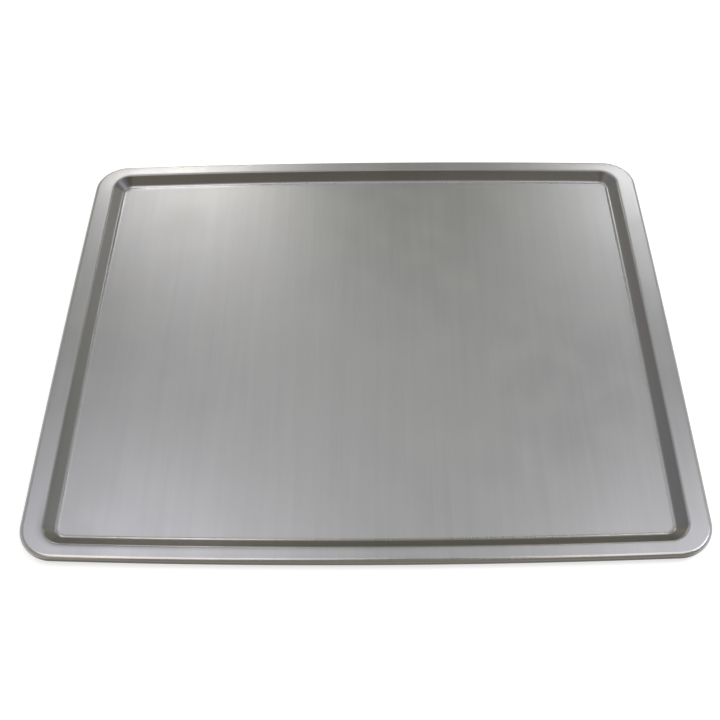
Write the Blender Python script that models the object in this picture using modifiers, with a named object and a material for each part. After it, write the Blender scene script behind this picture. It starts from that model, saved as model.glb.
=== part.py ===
# Oven drip tray: one pressed sheet with a rolled edge, and the wire inside that edge.
# Metres, +Z up, front towards -Y. The origin is on the surface that the tray stands on, below its middle.

import math

import bmesh
import bpy

# Overall size, over the rolled edge at the middle of each side
TRAY_WIDTH = 0.460
TRAY_DEPTH = 0.376
CORNER_RADIUS = 0.024

# How far each edge bows outward between its corners
SIDE_BOW = 0.0012
FRONT_BOW = 0.0047

# Sheet, and the wire that its edge is rolled round
SHEET_THICKNESS = 0.0008
WIRE_DIAMETER = 0.0035
WIRE_CLEARANCE = 0.0003
WIRE_END_GAP = 0.0010
ROLL_ANGLE = math.radians(292.5)

# Flat of the rim, from the crown of the rolled edge to the bend into the recess
SIDE_FLAT = 0.0113
FRONT_FLAT = 0.0071

# Recess: its depth, how far its wall slopes in, and the radii on its top face
RECESS_DEPTH = 0.0064
WALL_RUN = 0.0107
RIM_BEND_RADIUS = 0.0030
FLOOR_FILLET_RADIUS = 0.0050
FLOOR_CORNER_RADIUS = 0.0050

# How finely the round stretches are stepped
CORNER_STEPS = 8
FRONT_STEPS = 8
SIDE_STEPS = 4
ROLL_STEPS = 13
BEND_STEPS = 3
FILLET_STEPS = 4

# What follows from the sizes above
RIM_HEIGHT = RECESS_DEPTH + SHEET_THICKNESS
ROLL_RADIUS = WIRE_DIAMETER / 2 + WIRE_CLEARANCE + SHEET_THICKNESS
EDGE_HALF_WIDTH = TRAY_WIDTH / 2 - SIDE_BOW
EDGE_HALF_DEPTH = TRAY_DEPTH / 2 - FRONT_BOW
RECESS_HALF_WIDTH = EDGE_HALF_WIDTH - ROLL_RADIUS - SIDE_FLAT
RECESS_HALF_DEPTH = EDGE_HALF_DEPTH - ROLL_RADIUS - FRONT_FLAT
RECESS_CORNER_RADIUS = FLOOR_CORNER_RADIUS + WALL_RUN


def clear_scene():
    for old in list(bpy.data.objects):
        bpy.data.objects.remove(old, do_unlink=True)


def make_material(name, colour, roughness):
    material = bpy.data.materials.new(name)
    material.use_nodes = True
    shader = material.node_tree.nodes["Principled BSDF"]
    shader.inputs["Base Color"].default_value = (*colour, 1.0)
    shader.inputs["Metallic"].default_value = 1.0
    shader.inputs["Roughness"].default_value = roughness
    material.diffuse_color = (*colour, 1.0)
    return material


def bowed(x, y):
    # Moves a point outward by the bow of the edges, which fades out towards the corners
    along_x = x / EDGE_HALF_WIDTH
    along_y = y / EDGE_HALF_DEPTH
    return (
        x + SIDE_BOW * along_x * (1 - along_y ** 2),
        y + FRONT_BOW * along_y * (1 - along_x ** 2),
    )


def outline(half_width, half_depth, corner_radius, height):
    # A closed loop of points at one height: a rounded rectangle with bowed sides,
    # anticlockwise from above, starting where the rear edge meets the left rear corner
    straight_x = half_width - corner_radius
    straight_y = half_depth - corner_radius
    corners = ((-1, 1, 90), (-1, -1, 180), (1, -1, 270), (1, 1, 0))
    arcs = []
    for side_x, side_y, first_angle in corners:
        arc = []
        for step in range(CORNER_STEPS + 1):
            angle = math.radians(first_angle + 90 * step / CORNER_STEPS)
            arc.append((
                side_x * straight_x + corner_radius * math.cos(angle),
                side_y * straight_y + corner_radius * math.sin(angle),
            ))
        arcs.append(arc)

    points = []
    for index, arc in enumerate(arcs):
        points.extend(arc)
        start = arc[-1]
        end = arcs[(index + 1) % len(arcs)][0]
        steps = FRONT_STEPS if index % 2 else SIDE_STEPS
        for step in range(1, steps):
            share = step / steps
            points.append((
                start[0] + (end[0] - start[0]) * share,
                start[1] + (end[1] - start[1]) * share,
            ))
    return [(*bowed(x, y), height) for x, y in points]


def rolled_edge_loops():
    # Outer face of the roll, from its free end under the rim, round the wire and up to its crown
    loops = []
    for step in range(ROLL_STEPS + 1):
        angle = ROLL_ANGLE * (1 - step / ROLL_STEPS)
        inset = ROLL_RADIUS * (1 - math.sin(angle))
        drop = ROLL_RADIUS * (1 - math.cos(angle))
        loops.append(outline(
            EDGE_HALF_WIDTH - inset,
            EDGE_HALF_DEPTH - inset,
            CORNER_RADIUS - inset,
            RIM_HEIGHT - drop,
        ))
    return loops


def wall_section():
    # Top face of the wall as (inset, drop) from the start of the bend: the bend over the rim's edge,
    # a straight slope tangent to both radii, and the fillet onto the floor
    widest_radii = (WALL_RUN ** 2 + RECESS_DEPTH ** 2) / (2 * RECESS_DEPTH)
    wanted_radii = RIM_BEND_RADIUS + FLOOR_FILLET_RADIUS
    fit = min(1.0, widest_radii / wanted_radii)
    bend = RIM_BEND_RADIUS * fit
    fillet = FLOOR_FILLET_RADIUS * fit
    rise = bend + fillet - RECESS_DEPTH
    slope = math.asin(min(1.0, (bend + fillet) / math.hypot(WALL_RUN, rise))) - math.atan2(rise, WALL_RUN)

    section = []
    for step in range(BEND_STEPS + 1):
        angle = slope * step / BEND_STEPS
        section.append((bend * math.sin(angle), bend * (1 - math.cos(angle))))
    for step in range(FILLET_STEPS + 1):
        angle = slope * (1 - step / FILLET_STEPS)
        section.append((WALL_RUN - fillet * math.sin(angle), RECESS_DEPTH - fillet * (1 - math.cos(angle))))
    return section


def recess_loops():
    return [
        outline(
            RECESS_HALF_WIDTH - inset,
            RECESS_HALF_DEPTH - inset,
            RECESS_CORNER_RADIUS - inset,
            RIM_HEIGHT - drop,
        )
        for inset, drop in wall_section()
    ]


def make_tray_pan(collection, material):
    # The visible face of the sheet is lofted loop by loop from the free end of the roll to the floor,
    # and Solidify gives it its thickness on the other side
    model = bmesh.new()
    rings = [
        [model.verts.new(point) for point in loop]
        for loop in rolled_edge_loops() + recess_loops()
    ]
    for outer, inner in zip(rings, rings[1:]):
        for index in range(len(outer)):
            following = (index + 1) % len(outer)
            model.faces.new((outer[index], outer[following], inner[following], inner[index]))
    model.faces.new(rings[-1])

    mesh = bpy.data.meshes.new("tray_pan")
    model.to_mesh(mesh)
    model.free()
    mesh.shade_smooth()
    mesh.set_sharp_from_angle(angle=math.radians(40))
    mesh.materials.append(material)

    pan = bpy.data.objects.new("tray_pan", mesh)
    collection.objects.link(pan)
    sheet = pan.modifiers.new("sheet", "SOLIDIFY")
    sheet.thickness = SHEET_THICKNESS
    sheet.offset = -1.0
    sheet.use_even_offset = True
    return pan


def make_rim_wire(collection, material):
    # One length of wire along the middle of the roll, its two ends facing each other at the rear
    loop = outline(
        EDGE_HALF_WIDTH - ROLL_RADIUS,
        EDGE_HALF_DEPTH - ROLL_RADIUS,
        CORNER_RADIUS - ROLL_RADIUS,
        RIM_HEIGHT - ROLL_RADIUS,
    )
    rear_middle = len(loop) - FRONT_STEPS // 2
    path = loop[rear_middle:] + loop[:rear_middle]
    _, rear, height = path[0]
    path[0] = (-WIRE_END_GAP / 2, rear, height)
    path.append((WIRE_END_GAP / 2, rear, height))

    curve = bpy.data.curves.new("rim_wire", "CURVE")
    curve.dimensions = "3D"
    curve.bevel_depth = WIRE_DIAMETER / 2
    curve.bevel_resolution = 2
    curve.use_fill_caps = True
    spline = curve.splines.new("POLY")
    spline.points.add(len(path) - 1)
    for point, place in zip(spline.points, path):
        point.co = (*place, 1.0)
    spline.use_smooth = True
    curve.materials.append(material)

    wire = bpy.data.objects.new("rim_wire", curve)
    collection.objects.link(wire)
    return wire


def main():
    clear_scene()
    collection = bpy.data.collections.new("oven_drip_tray")
    bpy.context.scene.collection.children.link(collection)

    sheet_metal = make_material("satin_sheet", (0.40, 0.40, 0.39), 0.38)
    wire_metal = make_material("drawn_wire", (0.34, 0.34, 0.34), 0.45)

    make_tray_pan(collection, sheet_metal)
    make_rim_wire(collection, wire_metal)


main()
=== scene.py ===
import math

import bmesh
import bpy
from mathutils import Matrix, Vector


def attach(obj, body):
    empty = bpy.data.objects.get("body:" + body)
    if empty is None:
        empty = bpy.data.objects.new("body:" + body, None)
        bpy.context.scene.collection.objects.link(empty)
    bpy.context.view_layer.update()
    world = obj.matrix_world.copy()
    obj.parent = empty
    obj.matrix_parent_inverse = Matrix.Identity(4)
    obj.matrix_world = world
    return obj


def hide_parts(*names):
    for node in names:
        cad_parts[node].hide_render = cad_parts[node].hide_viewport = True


# Oven drip tray: the fine sheet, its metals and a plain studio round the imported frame.
# Metres, +Z up, front towards -Y, origin on the surface that the tray stands on.

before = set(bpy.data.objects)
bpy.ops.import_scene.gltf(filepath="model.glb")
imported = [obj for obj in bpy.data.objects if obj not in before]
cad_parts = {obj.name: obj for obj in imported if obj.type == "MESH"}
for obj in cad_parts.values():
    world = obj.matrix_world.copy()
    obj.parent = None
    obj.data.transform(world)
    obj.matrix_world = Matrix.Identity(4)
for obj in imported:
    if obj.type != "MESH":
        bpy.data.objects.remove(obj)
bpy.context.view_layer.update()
print("frame loaded:", ", ".join(sorted(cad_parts)))

scene = bpy.context.scene
scene.view_settings.view_transform = "Standard"


# Small helpers for node trees

def addNode(tree, kind, **settings):
    node = tree.nodes.new(kind)
    for name, value in settings.items():
        setattr(node, name, value)
    return node


def feed(tree, source, target):
    # source is a number, a colour or an output socket
    if isinstance(source, bpy.types.NodeSocket):
        tree.links.new(source, target)
    else:
        target.default_value = source


def calc(tree, operation, first, second):
    node = addNode(tree, "ShaderNodeMath", operation=operation)
    feed(tree, first, node.inputs[0])
    feed(tree, second, node.inputs[1])
    return node.outputs[0]


def remap(tree, value, fromLow, fromHigh, toLow, toHigh, smooth=False):
    node = addNode(tree, "ShaderNodeMapRange", clamp=True)
    if smooth:
        node.interpolation_type = "SMOOTHSTEP"
    for socket, source in zip(node.inputs[:5], (value, fromLow, fromHigh, toLow, toHigh)):
        feed(tree, source, socket)
    return node.outputs["Result"]


def mixColour(tree, factor, first, second, blend="MIX"):
    node = addNode(tree, "ShaderNodeMix", data_type="RGBA", blend_type=blend)
    feed(tree, factor, node.inputs["Factor"])
    feed(tree, first, node.inputs["A"])
    feed(tree, second, node.inputs["B"])
    return node.outputs["Result"]


def stretched(tree, vector, scale):
    node = addNode(tree, "ShaderNodeVectorMath", operation="MULTIPLY")
    feed(tree, vector, node.inputs[0])
    feed(tree, scale, node.inputs[1])
    return node.outputs["Vector"]


def noise(tree, vector, scale, detail, roughness=0.5):
    node = addNode(tree, "ShaderNodeTexNoise", noise_dimensions="3D")
    feed(tree, vector, node.inputs["Vector"])
    feed(tree, scale, node.inputs["Scale"])
    feed(tree, detail, node.inputs["Detail"])
    feed(tree, roughness, node.inputs["Roughness"])
    return node.outputs["Fac"]


def makeGroup(name, inputs, outputs):
    tree = bpy.data.node_groups.new(name, "ShaderNodeTree")
    for label, kind, value in inputs:
        socket = tree.interface.new_socket(name=label, in_out="INPUT", socket_type=kind)
        if value is not None:
            socket.default_value = value
    for label, kind in outputs:
        tree.interface.new_socket(name=label, in_out="OUTPUT", socket_type=kind)
    return tree, addNode(tree, "NodeGroupInput").outputs, addNode(tree, "NodeGroupOutput").inputs


def placeGroup(tree, group, **values):
    node = addNode(tree, "ShaderNodeGroup", node_tree=group)
    for label, value in values.items():
        feed(tree, value, node.inputs[label])
    return node.outputs


# Effects that both metals use

effects = {
    # steps of the grain in a metre: across, along and upwards
    "lines": (1600.0, 14.0, 400.0),
    "bands": (150.0, 5.0, 40.0),
    "lineDetail": (3.0, 0.6),
    "bandDetail": (2.0, 0.5),
    "grainRange": (0.30, 0.70),
    "smudgeScale": 28.0,
    "smudgeDetail": (4.0, 0.55),
    "smudgeRange": (0.40, 0.68),
    "scratchScale": 60.0,
    "scratchShare": 0.5,
    "scratchWidth": 0.010,
    "scratchStretch": (1.0, 0.35, 1.0),  # longest from front to back
    "wanderScale": 90.0,  # the scratches wander off a straight line
    "wanderDetail": 1.0,
    "wander": 0.006,  # metres
    "patchScale": 45.0,  # and come in patches
    "patchDetail": 2.0,
    "patchRange": (0.52, 0.66),
}


def makeRolledGrain():
    # Fine lines left by the rolling mill or the drawing die, and the broader bands between them
    tree, given, result = makeGroup(
        "rolledGrain",
        [("Vector", "NodeSocketVector", None), ("Lines", "NodeSocketVector", effects["lines"]),
         ("Bands", "NodeSocketVector", effects["bands"])],
        [("Line", "NodeSocketFloat"), ("Band", "NodeSocketFloat")],
    )
    lines = noise(tree, stretched(tree, given["Vector"], given["Lines"]), 1.0, *effects["lineDetail"])
    bands = noise(tree, stretched(tree, given["Vector"], given["Bands"]), 1.0, *effects["bandDetail"])
    feed(tree, remap(tree, lines, *effects["grainRange"], 0.0, 1.0), result["Line"])
    feed(tree, remap(tree, bands, *effects["grainRange"], 0.0, 1.0), result["Band"])
    return tree


def makeHandling():
    # Soft smudges where the metal was handled, and sparse hairline scratches
    tree, given, result = makeGroup(
        "handlingMarks",
        [("Vector", "NodeSocketVector", None), ("Smudge Scale", "NodeSocketFloat", effects["smudgeScale"]),
         ("Scratch Scale", "NodeSocketFloat", effects["scratchScale"]),
         ("Scratch Share", "NodeSocketFloat", effects["scratchShare"])],
        [("Smudge", "NodeSocketFloat"), ("Scratch", "NodeSocketFloat")],
    )
    smudges = noise(tree, given["Vector"], given["Smudge Scale"], *effects["smudgeDetail"])
    feed(tree, remap(tree, smudges, *effects["smudgeRange"], 0.0, 1.0, smooth=True), result["Smudge"])

    bent = noise(tree, given["Vector"], effects["wanderScale"], effects["wanderDetail"])
    shifted = addNode(tree, "ShaderNodeVectorMath", operation="ADD")
    feed(tree, given["Vector"], shifted.inputs[0])
    feed(tree, calc(tree, "MULTIPLY", bent, effects["wander"]), shifted.inputs[1])
    along = stretched(tree, shifted.outputs["Vector"], effects["scratchStretch"])
    cells = addNode(tree, "ShaderNodeTexVoronoi", feature="DISTANCE_TO_EDGE")
    feed(tree, along, cells.inputs["Vector"])
    feed(tree, given["Scratch Scale"], cells.inputs["Scale"])
    hairline = remap(tree, cells.outputs["Distance"], 0.0, effects["scratchWidth"], 1.0, 0.0)
    patches = noise(tree, given["Vector"], effects["patchScale"], effects["patchDetail"])
    share = remap(tree, patches, *effects["patchRange"], 0.0, given["Scratch Share"])
    feed(tree, calc(tree, "MULTIPLY", hairline, share), result["Scratch"])
    return tree


rolledGrain = makeRolledGrain()
handlingMarks = makeHandling()
print("effects built: rolledGrain, handlingMarks")


# Metals

satinSheet = {
    "colour": (0.385, 0.385, 0.380, 1.0),
    "bandColour": (0.369, 0.369, 0.365, 1.0),
    "smudgeColour": (0.370, 0.366, 0.356, 1.0),
    "smudgeShare": 0.4,
    "wallShade": 0.25,  # painted shade on the drawn wall, where it is darkest
    "edgeShade": 0.26,  # painted shade on the outer side of the rolled edge
    "rubbedLift": 1.14,  # painted highlight: the colour is brighter where the tools rubbed it
    "polishedLift": 1.80,  # painted highlight on the rear rim, the front crown and the foot
    "lineShade": (0.978, 1.022),
    "roughness": 0.33,
    "rubbedRoughness": 0.14,
    # added to the roughness
    "smudgeRoughness": (-0.01, 0.03),
    "lineRoughness": (-0.015, 0.015),
    "scratchDepth": 0.1,  # as a share of the grain's
    "grainDepth": 0.000010,
    "grainStrength": 0.5,
}

drawnWire = {
    "colour": (0.34, 0.34, 0.335, 1.0),
    "smudgeColour": (0.24, 0.235, 0.225, 1.0),
    "smudgeScale": 120.0,
    "lines": (700.0, 700.0, 1800.0),
    "bands": (40.0, 40.0, 300.0),
    "roughness": 0.42,
    "bandRoughness": (-0.05, 0.05),
    "grainDepth": 0.00002,
    "grainStrength": 0.6,
}


def newMetal(name):
    material = bpy.data.materials.new(name)
    material.use_nodes = True
    tree = material.node_tree
    shader = tree.nodes["Principled BSDF"]
    shader.inputs["Metallic"].default_value = 1.0
    return material, tree, shader


def worked(tree, name):
    # How strongly painted shade, painted highlight and rubbing show at each place, as written on its mesh
    return addNode(tree, "ShaderNodeAttribute", attribute_name=name).outputs["Fac"]


def carveGrain(tree, height, look, shader):
    bump = addNode(tree, "ShaderNodeBump")
    bump.inputs["Strength"].default_value = look["grainStrength"]
    bump.inputs["Distance"].default_value = look["grainDepth"]
    feed(tree, height, bump.inputs["Height"])
    feed(tree, bump.outputs["Normal"], shader.inputs["Normal"])


def makeSatinSheet():
    material, tree, shader = newMetal("satin_sheet_metal")
    place = addNode(tree, "ShaderNodeTexCoord").outputs["Object"]
    grain = placeGroup(tree, rolledGrain, Vector=place)
    marks = placeGroup(tree, handlingMarks, Vector=place)
    rubbed = worked(tree, "rubbed")

    colour = mixColour(tree, grain["Band"], satinSheet["colour"], satinSheet["bandColour"])
    smudged = calc(tree, "MULTIPLY", marks["Smudge"], satinSheet["smudgeShare"])
    colour = mixColour(tree, smudged, colour, satinSheet["smudgeColour"])
    # Painted shade darkens the drawn wall and the outer side of the rolled edge; painted highlights lighten
    # the rubbed and polished places.
    shade = remap(tree, worked(tree, "drawn"), 0.0, 1.0, 1.0, satinSheet["wallShade"])
    for mask, plain, full in (
            (worked(tree, "scuffed"), 1.0, satinSheet["edgeShade"]),
            (rubbed, 1.0, satinSheet["rubbedLift"]),
            (worked(tree, "polished"), 1.0, satinSheet["polishedLift"]),
            (grain["Line"], *satinSheet["lineShade"])):
        shade = calc(tree, "MULTIPLY", shade, remap(tree, mask, 0.0, 1.0, plain, full))
    shadeColour = addNode(tree, "ShaderNodeCombineColor")
    for channel in shadeColour.inputs[:3]:
        feed(tree, shade, channel)
    colour = mixColour(tree, 1.0, colour, shadeColour.outputs["Color"], "MULTIPLY")
    feed(tree, colour, shader.inputs["Base Color"])

    rough = remap(tree, rubbed, 0.0, 1.0, satinSheet["roughness"], satinSheet["rubbedRoughness"])
    rough = calc(tree, "ADD", rough, remap(tree, marks["Smudge"], 0.0, 1.0, *satinSheet["smudgeRoughness"]))
    rough = calc(tree, "ADD", rough, remap(tree, grain["Line"], 0.0, 1.0, *satinSheet["lineRoughness"]))
    feed(tree, rough, shader.inputs["Roughness"])

    scratched = calc(tree, "MULTIPLY", marks["Scratch"], satinSheet["scratchDepth"])
    carveGrain(tree, calc(tree, "SUBTRACT", grain["Line"], scratched), satinSheet, shader)
    return material


def makeDrawnWire():
    material, tree, shader = newMetal("drawn_wire_metal")
    place = addNode(tree, "ShaderNodeTexCoord").outputs["Object"]
    grain = placeGroup(tree, rolledGrain, Vector=place, Lines=drawnWire["lines"], Bands=drawnWire["bands"])
    marks = placeGroup(tree, handlingMarks, Vector=place, **{"Smudge Scale": drawnWire["smudgeScale"]})

    colour = mixColour(tree, marks["Smudge"], drawnWire["colour"], drawnWire["smudgeColour"])
    feed(tree, colour, shader.inputs["Base Color"])
    banded = remap(tree, grain["Band"], 0.0, 1.0, *drawnWire["bandRoughness"])
    feed(tree, calc(tree, "ADD", drawnWire["roughness"], banded), shader.inputs["Roughness"])
    carveGrain(tree, grain["Line"], drawnWire, shader)
    return material


sheetMetal = makeSatinSheet()
wireMetal = makeDrawnWire()
print("metals mixed:", sheetMetal.name, wireMetal.name)


# Tray pan: the same pressed sheet as the frame's, in fine steps

trayPan = {
    "width": 0.460,
    "depth": 0.376,
    "cornerRadius": 0.024,
    "sideBow": 0.0012,
    "frontBow": 0.0047,
    "sheet": 0.0008,
    "rollRadius": 0.00285,
    "rollAngle": 292.5,  # from the crown to the free end
    "sideFlat": 0.0113,
    "frontFlat": 0.0071,
    "recessDepth": 0.0064,
    "wallRun": 0.0107,
    "rimBend": 0.0030,
    "floorFillet": 0.0050,
    "floorCorner": 0.0050,
    "cornerSteps": 20,
    "frontSteps": 32,
    "sideSteps": 24,
    "rollSteps": 26,
    "bendSteps": 6,
    "filletSteps": 8,
    "sharpAngle": 40,

    # rings on the flat rim: share of the way in, painted shade at the front left, painted highlight at the
    # rear
    "rimRings": (
        (0.06, 0.0, 0.11),
        (0.30, 0.0, 0.26),
        (0.65, 0.0, 0.37),
        (0.82, 0.15, 0.37),
        (0.96, 0.4, 0.32),
    ),
    # rings on the floor: metres inside the fillet, painted shade in the rear left corner, painted highlight
    # at the rear
    "floorRings": (
        (0.0003, 0.45, 0.8),
        (0.0009, 0.30, 0.2),
        (0.0030, 0.0, 0.0),
    ),

    # how strongly painted shade, painted highlight and rubbing show on the section, from 0 to 1
    "wallDark": 0.8,  # painted shade on the drawn wall, which reaches 1 in the rear left corner
    "footDark": 0.92,  # the same at the top of the fillet
    "footClears": 1.3,  # how fast that clears towards the floor
    "cornerFootDark": 0.5,  # what stays of it in the rear left corner
    "wornBend": 0.5,  # painted shade on the upper bend of the front wall
    "plainRub": 0.1,  # rubbing, which lowers the roughness and lifts the colour as a painted sheen, on the rim and the rolled edge
    "frontRub": 0.85,  # the front of the rolled edge
    "sideScuff": 0.35,  # painted shade on the rolled edge everywhere but in front
    "footRubLeast": 0.28,  # the foot of the wall away from the rear corners
    "rightPolish": 0.75,  # painted highlight on the rim at the rear right, as a share of that at the rear left
    "wornLeast": 0.4,  # painted shade on the front bend near the middle

    # where that starts and where it is full, round the roll in degrees from the crown
    "scuffedFrom": (38, 62),
    "crownPolish": (25, 28),  # middle and reach
    # the same down the fillet, as shares of it
    "footPolish": (0.45, 0.75),
    "footRub": (0.65, 0.45),  # middle and reach
    # the same along the edge, in metres from the middle towards the side that is named
    "frontReach": (0.13, 0.18),
    "rearReach": (0.14, 0.165),
    "footRubRear": (0.03, 0.10),
    "footRubSide": (0.06, 0.13),
    "rimPolishLeft": (0.09, 0.15),
    "rimPolishRight": (0.17, 0.21),
    "footPolishLeft": (0.09, 0.13),
    "crownPolishLeft": (0.145, 0.185),
    "wornLeft": (0.03, 0.17),
    "wornStartLeft": (-0.12, 0.0),
    # how squarely the rolled edge faces the front before it gets the front's painted shade, painted
    # highlight and rubbing, as a sine
    "aheadFrom": 0.82,
}

rimHeight = trayPan["recessDepth"] + trayPan["sheet"]
edgeHalfWidth = trayPan["width"] / 2 - trayPan["sideBow"]
edgeHalfDepth = trayPan["depth"] / 2 - trayPan["frontBow"]
recessHalfWidth = edgeHalfWidth - trayPan["rollRadius"] - trayPan["sideFlat"]
recessHalfDepth = edgeHalfDepth - trayPan["rollRadius"] - trayPan["frontFlat"]
recessCorner = trayPan["floorCorner"] + trayPan["wallRun"]


def bowed(x, y):
    alongX = x / edgeHalfWidth
    alongY = y / edgeHalfDepth
    return (
        x + trayPan["sideBow"] * alongX * (1 - alongY ** 2),
        y + trayPan["frontBow"] * alongY * (1 - alongX ** 2),
    )


def outline(halfWidth, halfDepth, cornerRadius, height):
    # A rounded rectangle with bowed sides, at one height
    straightX = halfWidth - cornerRadius
    straightY = halfDepth - cornerRadius
    arcs = []
    for sideX, sideY, firstAngle in ((-1, 1, 90), (-1, -1, 180), (1, -1, 270), (1, 1, 0)):
        arc = []
        for step in range(trayPan["cornerSteps"] + 1):
            angle = math.radians(firstAngle + 90 * step / trayPan["cornerSteps"])
            arc.append((
                sideX * straightX + cornerRadius * math.cos(angle),
                sideY * straightY + cornerRadius * math.sin(angle),
            ))
        arcs.append(arc)

    points = []
    for index, arc in enumerate(arcs):
        points.extend(arc)
        start, end = arc[-1], arcs[(index + 1) % 4][0]
        steps = trayPan["frontSteps"] if index % 2 else trayPan["sideSteps"]
        for step in range(1, steps):
            share = step / steps
            points.append((start[0] + (end[0] - start[0]) * share, start[1] + (end[1] - start[1]) * share))
    return [Vector((*bowed(x, y), height)) for x, y in points]


def between(first, second, share):
    return [a.lerp(b, share) for a, b in zip(first, second)]


def ramp(value, start, end):
    return max(0.0, min(1.0, (value - start) / (end - start)))


def hump(value, middle, reach):
    return max(0.0, 1 - abs(value - middle) / reach)


def makeRing(loop, part, **look):
    # One ring of the sheet with its painted shade, painted highlight and rubbing: each value is 0 for the
    # plain sheet
    ring = dict.fromkeys(("drawn", "frontLeft", "rearLeft", "scuffed", "rubbed", "polished"), 0.0)
    ring.update(look, loop=loop, part=part)
    return ring


def recessLoop(inset, height):
    return outline(recessHalfWidth - inset, recessHalfDepth - inset, recessCorner - inset, height)


def rollRings():
    rings = []
    for step in range(trayPan["rollSteps"] + 1):
        angle = math.radians(trayPan["rollAngle"]) * (1 - step / trayPan["rollSteps"])
        inset = trayPan["rollRadius"] * (1 - math.sin(angle))
        drop = trayPan["rollRadius"] * (1 - math.cos(angle))
        loop = outline(
            edgeHalfWidth - inset, edgeHalfDepth - inset, trayPan["cornerRadius"] - inset, rimHeight - drop)
        turned = math.degrees(angle)
        # painted shade on the outer side of the roll, painted highlight on the crown
        rings.append(makeRing(
            loop, "roll", rubbed=trayPan["plainRub"], scuffed=ramp(turned, *trayPan["scuffedFrom"]),
            polished=hump(turned, *trayPan["crownPolish"])))
    return rings


def rimRings(crown, bend):
    # painted shade at the front left and painted highlight at the rear, on the flat rim
    return [
        makeRing(
            between(crown, bend, share), "rim", frontLeft=worn, polished=polished,
            rubbed=trayPan["plainRub"])
        for share, worn, polished in trayPan["rimRings"]
    ]


def wallRings():
    run, depth = trayPan["wallRun"], trayPan["recessDepth"]
    # The bend and the fillet shrink together where the wall is too short for both
    fit = min(1.0, (run ** 2 + depth ** 2) / (2 * depth) / (trayPan["rimBend"] + trayPan["floorFillet"]))
    bend, fillet = trayPan["rimBend"] * fit, trayPan["floorFillet"] * fit
    # The straight wall touches both arcs
    rise = bend + fillet - depth
    slope = math.asin(min(1.0, (bend + fillet) / math.hypot(run, rise))) - math.atan2(rise, run)

    rings = []
    for step in range(trayPan["bendSteps"] + 1):
        share = step / trayPan["bendSteps"]
        inset, drop = bend * math.sin(slope * share), bend * (1 - math.cos(slope * share))
        # painted shade down the bend, strongest in the rear left corner and at the front left
        rings.append(makeRing(
            recessLoop(inset, rimHeight - drop), "rim", drawn=trayPan["wallDark"] * share,
            frontLeft=trayPan["wornBend"], rearLeft=share, rubbed=trayPan["plainRub"]))
    for step in range(trayPan["filletSteps"] + 1):
        share = step / trayPan["filletSteps"]
        angle = slope * (1 - share)
        inset, drop = run - fillet * math.sin(angle), depth - fillet * (1 - math.cos(angle))
        # painted shade at the top of the fillet, painted highlight lower down
        dark = max(0.0, trayPan["footDark"] - trayPan["footClears"] * share)
        rings.append(makeRing(
            recessLoop(inset, rimHeight - drop), "foot", drawn=trayPan["wallDark"] * dark,
            rearLeft=max(dark, trayPan["cornerFootDark"]), rubbed=hump(share, *trayPan["footRub"]),
            polished=ramp(share, *trayPan["footPolish"])))
    return rings


def floorRings():
    # Just inside the fillet, so that the flat floor shades flat
    return [
        # painted shade in the rear left corner, painted highlight at the rear
        makeRing(
            recessLoop(trayPan["wallRun"] + further, trayPan["sheet"]), "foot", rearLeft=dark,
            polished=polished)
        for further, dark, polished in trayPan["floorRings"]
    ]


def placesAlong(loop):
    # How strongly each painted shade, painted highlight and rubbing shows at each place along the edge
    straightX = edgeHalfWidth - trayPan["cornerRadius"]
    straightY = edgeHalfDepth - trayPan["cornerRadius"]
    places = []
    for point in loop:
        outX, outY = max(0.0, abs(point.x) - straightX), max(0.0, abs(point.y) - straightY)
        turn = math.atan2(outY, outX) if outX > 0 and outY > 0 else 0.0  # 0 on the straight sides
        facing = math.sin(turn) if turn else float(outY > 0)
        left, right, rear, front = -point.x, point.x, point.y, -point.y
        ahead = ramp(facing, trayPan["aheadFrom"], 1.0) if front > 0 else 0.0
        atFront, atRear = ramp(front, *trayPan["frontReach"]), ramp(rear, *trayPan["rearReach"])
        footRub = ramp(rear, *trayPan["footRubRear"]) * ramp(abs(point.x), *trayPan["footRubSide"])
        footRub = trayPan["footRubLeast"] + (1 - trayPan["footRubLeast"]) * footRub
        worn = trayPan["wornLeast"] + (1 - trayPan["wornLeast"]) * ramp(left, *trayPan["wornLeft"])
        rimPolish = max(
            ramp(left, *trayPan["rimPolishLeft"]),
            trayPan["rightPolish"] * ramp(right, *trayPan["rimPolishRight"]))
        # where the painted shade, painted highlight and rubbing show along the edge
        places.append({
            "scuffed": max(ahead, trayPan["sideScuff"] * (1.0 if rear > 0 else abs(math.cos(2 * turn)))),
            "frontRub": trayPan["frontRub"] * ahead,
            "footRub": footRub * (1 - math.sin(2 * turn)),
            "rollPolish": ahead * ramp(left, *trayPan["crownPolishLeft"]),
            "rimPolish": atRear * rimPolish,
            "footPolish": atRear * ramp(left, *trayPan["footPolishLeft"]) * (turn == 0.0),
            "frontLeft": atFront * worn * ramp(left, *trayPan["wornStartLeft"]),
            "rearLeft": math.sin(2 * turn) if left > 0 and rear > 0 else 0.0,
        })
    return places


def workedAt(ring, place):
    # painted shade and painted highlight, with the real rubbing
    atFrontLeft = ring["frontLeft"] * place["frontLeft"]
    atRearLeft = ring["drawn"] + (ring["rearLeft"] - ring["drawn"]) * place["rearLeft"]
    rubbed = ring["rubbed"]
    if ring["part"] == "roll":
        rubbed = max(rubbed, place["frontRub"])
    if ring["part"] == "foot":
        rubbed *= place["footRub"]
    return {
        "drawn": max(ring["drawn"], atFrontLeft, atRearLeft),
        "scuffed": ring["scuffed"] * place["scuffed"],
        "rubbed": rubbed,
        "polished": ring["polished"] * place[ring["part"] + "Polish"],
    }


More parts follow.
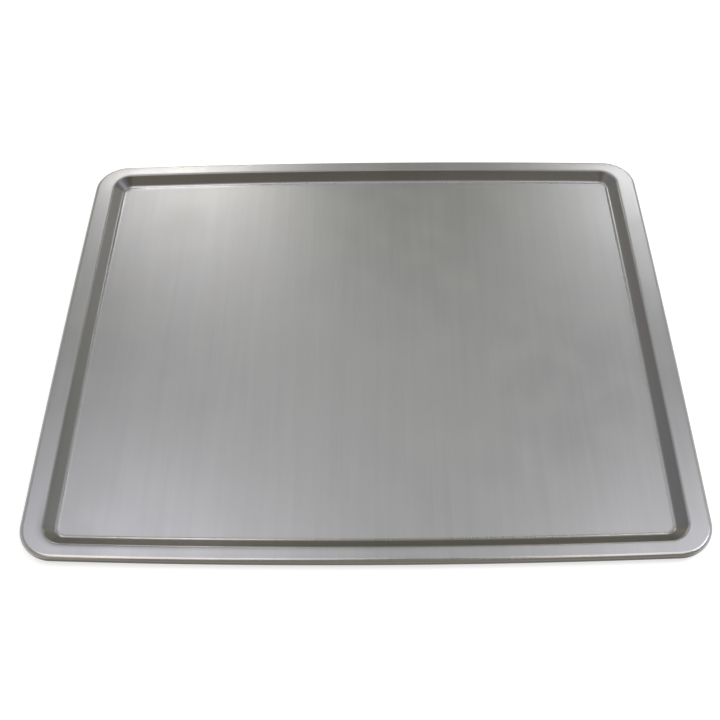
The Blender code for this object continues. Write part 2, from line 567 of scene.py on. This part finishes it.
def makeSheetMesh():
    roll, wall = rollRings(), wallRings()
    rings = roll + rimRings(roll[-1]["loop"], wall[0]["loop"]) + wall + floorRings()
    places = placesAlong(roll[0]["loop"])

    model = bmesh.new()
    names = ("drawn", "scuffed", "rubbed", "polished")
    layers = {name: model.verts.layers.float.new(name) for name in names}
    loops = []
    for ring in rings:
        loop = [model.verts.new(point) for point in ring["loop"]]
        for vert, place in zip(loop, places):
            for name, value in workedAt(ring, place).items():
                vert[layers[name]] = value
        loops.append(loop)
    for outer, inner in zip(loops, loops[1:]):
        for index in range(len(outer)):
            following = (index + 1) % len(outer)
            model.faces.new((outer[index], outer[following], inner[following], inner[index]))
    model.faces.new(loops[-1])

    mesh = bpy.data.meshes.new("tray_pan_sheet")
    model.to_mesh(mesh)
    model.free()
    mesh.materials.append(sheetMetal)
    return mesh


def makeTrayPan():
    pan = bpy.data.objects.new("tray_pan_sheet", makeSheetMesh())
    scene.collection.objects.link(pan)

    sheet = pan.modifiers.new("sheet", "SOLIDIFY")
    sheet.thickness = trayPan["sheet"]
    sheet.offset = -1.0
    sheet.use_even_offset = True
    bpy.context.view_layer.update()
    solid = bpy.data.meshes.new_from_object(pan.evaluated_get(bpy.context.evaluated_depsgraph_get()))
    pan.modifiers.clear()
    pan.data = solid
    solid.name = "tray_pan_sheet"
    solid.shade_smooth()
    solid.set_sharp_from_angle(angle=math.radians(trayPan["sharpAngle"]))
    return pan


pan = makeTrayPan()
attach(pan, "root")
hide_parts("tray_pan")
print("tray pan built:", len(pan.data.polygons), "faces")

# The frame's own wire stays, in a drawn finish
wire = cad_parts["rim_wire"]
wire.data.materials.clear()
wire.data.materials.append(wireMetal)


# Studio: a plain pale floor, a dim room and soft lamps

studio = {
    "floorSize": 30.0,
    "floorDrop": 0.0002,  # keeps it clear of the tray's underside
    "floorColour": (0.60, 0.60, 0.60, 1.0),
    "floorRoughness": 0.9,
    "floorLift": 0.64,  # brings the floor up to white where the camera or the metal sees it

    # the room: overhead, low at the rear, a band at the horizon, both sides and behind the camera
    "overhead": (0.352, 0.366, 0.345, 1.0),
    "lowRear": (0.550, 0.480, 0.290, 1.0),
    "horizon": (0.920, 0.900, 0.840, 1.0),
    "leftSide": (0.830, 0.830, 0.870, 1.0),
    "rightSide": (0.800, 0.810, 0.730, 1.0),
    "viewerSide": (0.420, 0.378, 0.290, 1.0),
    # where these meet, as parts of a direction of length 1
    "overheadFrom": (0.42, 0.60),  # upward
    "sidesUpTo": (0.62, 0.82),  # upward
    "sidesFrom": (0.45, 0.75),  # to either side
    "viewerFrom": (-0.55, 0.05),  # to the rear
    "bandTop": (0.45, 0.31),  # upward, at the viewer's side and at the rear
    "bandDepth": 0.20,

    "lampDistance": 1.8,
    # name, degrees round from the rear to the right, degrees up, width, height, brightness, colour
    "lamps": (
        ("rearLeftLamp", -17.1, 38.6, 0.42, 0.50, 1.18, (0.86, 0.84, 1.00)),
        ("rearLeftWindow", -16.0, 33.0, 0.25, 0.20, 4.55, (1.00, 0.99, 0.79)),
        ("rearLeftBlind", -24.0, 36.0, 0.25, 0.25, 1.50, (0.95, 0.91, 1.00)),
        ("rearLeftSill", -17.0, 27.0, 0.35, 0.16, 6.70, (1.00, 0.94, 0.93)),
        ("rearRightWindow", 30.0, 34.0, 0.25, 0.25, 7.50, (0.93, 0.91, 1.00)),
        ("rearRightBlind", 21.0, 34.0, 0.22, 0.18, 3.42, (0.98, 1.00, 0.99)),
        ("highLeftLamp", -55.5, 71.2, 0.82, 0.86, 1.69, (0.92, 0.89, 1.00)),
        ("farLeftLamp", -55.0, 59.0, 0.40, 0.35, 0.70, (0.80, 0.81, 1.00)),
        ("highRightLamp", 65.4, 65.5, 0.72, 0.72, 1.61, (0.96, 0.92, 1.00)),
        ("farRightLamp", 52.0, 55.0, 0.35, 0.35, 0.57, (0.79, 0.82, 1.00)),
        ("middleLamp", 2.0, 57.0, 0.70, 0.55, 0.46, (0.96, 1.00, 0.98)),
        ("overLeftLamp", -121.0, 67.0, 0.45, 0.45, 1.60, (1.00, 0.80, 0.68)),
        ("overRightLamp", 121.0, 67.0, 0.45, 0.45, 1.37, (1.00, 0.99, 0.98)),
        ("sideRightLamp", 90.0, 47.0, 0.50, 0.50, 9.00, (0.81, 0.81, 1.00)),
    ),
}


def makeFloor():
    material = bpy.data.materials.new("pale_floor")
    material.use_nodes = True
    tree = material.node_tree
    shader = tree.nodes["Principled BSDF"]
    shader.inputs["Base Color"].default_value = studio["floorColour"]
    shader.inputs["Roughness"].default_value = studio["floorRoughness"]
    shader.inputs["Specular IOR Level"].default_value = 0.0
    light = addNode(tree, "ShaderNodeLightPath")
    seen = calc(tree, "MAXIMUM", light.outputs["Is Camera Ray"], light.outputs["Is Glossy Ray"])
    seen = calc(tree, "MAXIMUM", seen, light.outputs["Is Transmission Ray"])
    shader.inputs["Emission Color"].default_value = (1.0, 1.0, 1.0, 1.0)
    feed(tree, calc(tree, "MULTIPLY", seen, studio["floorLift"]), shader.inputs["Emission Strength"])

    half = studio["floorSize"] / 2
    mesh = bpy.data.meshes.new("studio_floor")
    corners = [(-half, -half, 0), (half, -half, 0), (half, half, 0), (-half, half, 0)]
    mesh.from_pydata(corners, [], [(0, 1, 2, 3)])
    mesh.materials.append(material)
    floor = bpy.data.objects.new("studio_floor", mesh)
    floor.location.z = -studio["floorDrop"]
    scene.collection.objects.link(floor)


def makeRoom():
    world = bpy.data.worlds.new("studio_room")
    world.use_nodes = True
    scene.world = world
    tree = world.node_tree
    direction = addNode(tree, "ShaderNodeTexCoord").outputs["Generated"]
    axes = addNode(tree, "ShaderNodeSeparateXYZ")
    feed(tree, direction, axes.inputs[0])
    x, y, z = axes.outputs
    sideStart, sideFull = studio["sidesFrom"]
    below = remap(tree, z, *studio["sidesUpTo"], 1.0, 0.0, smooth=True)
    toLeft = calc(tree, "MULTIPLY", remap(tree, x, -sideFull, -sideStart, 1.0, 0.0, smooth=True), below)
    toRight = calc(tree, "MULTIPLY", remap(tree, x, sideStart, sideFull, 0.0, 1.0, smooth=True), below)
    upward = remap(tree, z, *studio["overheadFrom"], 0.0, 1.0, smooth=True)
    toViewer = remap(tree, y, *studio["viewerFrom"], 1.0, 0.0, smooth=True)
    bandTop = remap(tree, y, *studio["viewerFrom"], *studio["bandTop"])
    bandFoot = calc(tree, "SUBTRACT", bandTop, studio["bandDepth"])
    nearFloor = remap(tree, z, bandFoot, bandTop, 1.0, 0.0, smooth=True)

    colour = mixColour(tree, upward, studio["lowRear"], studio["overhead"])
    colour = mixColour(tree, toLeft, colour, studio["leftSide"])
    colour = mixColour(tree, toRight, colour, studio["rightSide"])
    colour = mixColour(tree, toViewer, colour, studio["viewerSide"])
    colour = mixColour(tree, nearFloor, colour, studio["horizon"])
    background = tree.nodes["Background"]
    background.inputs["Strength"].default_value = 1.0
    feed(tree, colour, background.inputs["Color"])


def makeLamps():
    for name, azimuth, elevation, width, height, brightness, colour in studio["lamps"]:
        around, above = math.radians(azimuth), math.radians(elevation)
        direction = Vector((
            math.sin(around) * math.cos(above), math.cos(around) * math.cos(above), math.sin(above)))
        light = bpy.data.lights.new(name, "AREA")
        light.shape = "RECTANGLE"
        light.size, light.size_y = width, height
        light.energy = brightness * math.pi * width * height
        light.color = colour
        lamp = bpy.data.objects.new(name, light)
        lamp.location = direction * studio["lampDistance"]
        lamp.rotation_euler = direction.to_track_quat("Z", "Y").to_euler()
        scene.collection.objects.link(lamp)


makeFloor()
makeRoom()
makeLamps()
print("studio set up:", len(studio["lamps"]), "lamps")


# Camera: where the photograph was taken from

camera = {
    "location": (0.008774, -0.464214, 0.602992),
    "yaw": -1.544,
    "pitch": 53.639,  # below the horizon
    "roll": -1.674,
    "lens": 50.0,
    "sensor": 36.0,
    "clip": (0.01, 50.0),
}


def makeCamera():
    yaw, pitch, roll = (math.radians(camera[name]) for name in ("yaw", "pitch", "roll"))
    forward = Vector((math.sin(yaw) * math.cos(pitch), math.cos(yaw) * math.cos(pitch), -math.sin(pitch)))
    level = Vector((math.cos(yaw), -math.sin(yaw), 0))
    upward = level.cross(forward)
    right = math.cos(roll) * level + math.sin(roll) * upward
    up = -math.sin(roll) * level + math.cos(roll) * upward
    data = bpy.data.cameras.new("photo_camera")
    data.lens = camera["lens"]
    data.sensor_width = camera["sensor"]
    data.clip_start, data.clip_end = camera["clip"]
    viewer = bpy.data.objects.new("photo_camera", data)
    turn = Matrix((right, up, -forward)).transposed().to_4x4()
    viewer.matrix_world = Matrix.Translation(camera["location"]) @ turn
    scene.collection.objects.link(viewer)
    scene.camera = viewer


makeCamera()
print("camera placed")
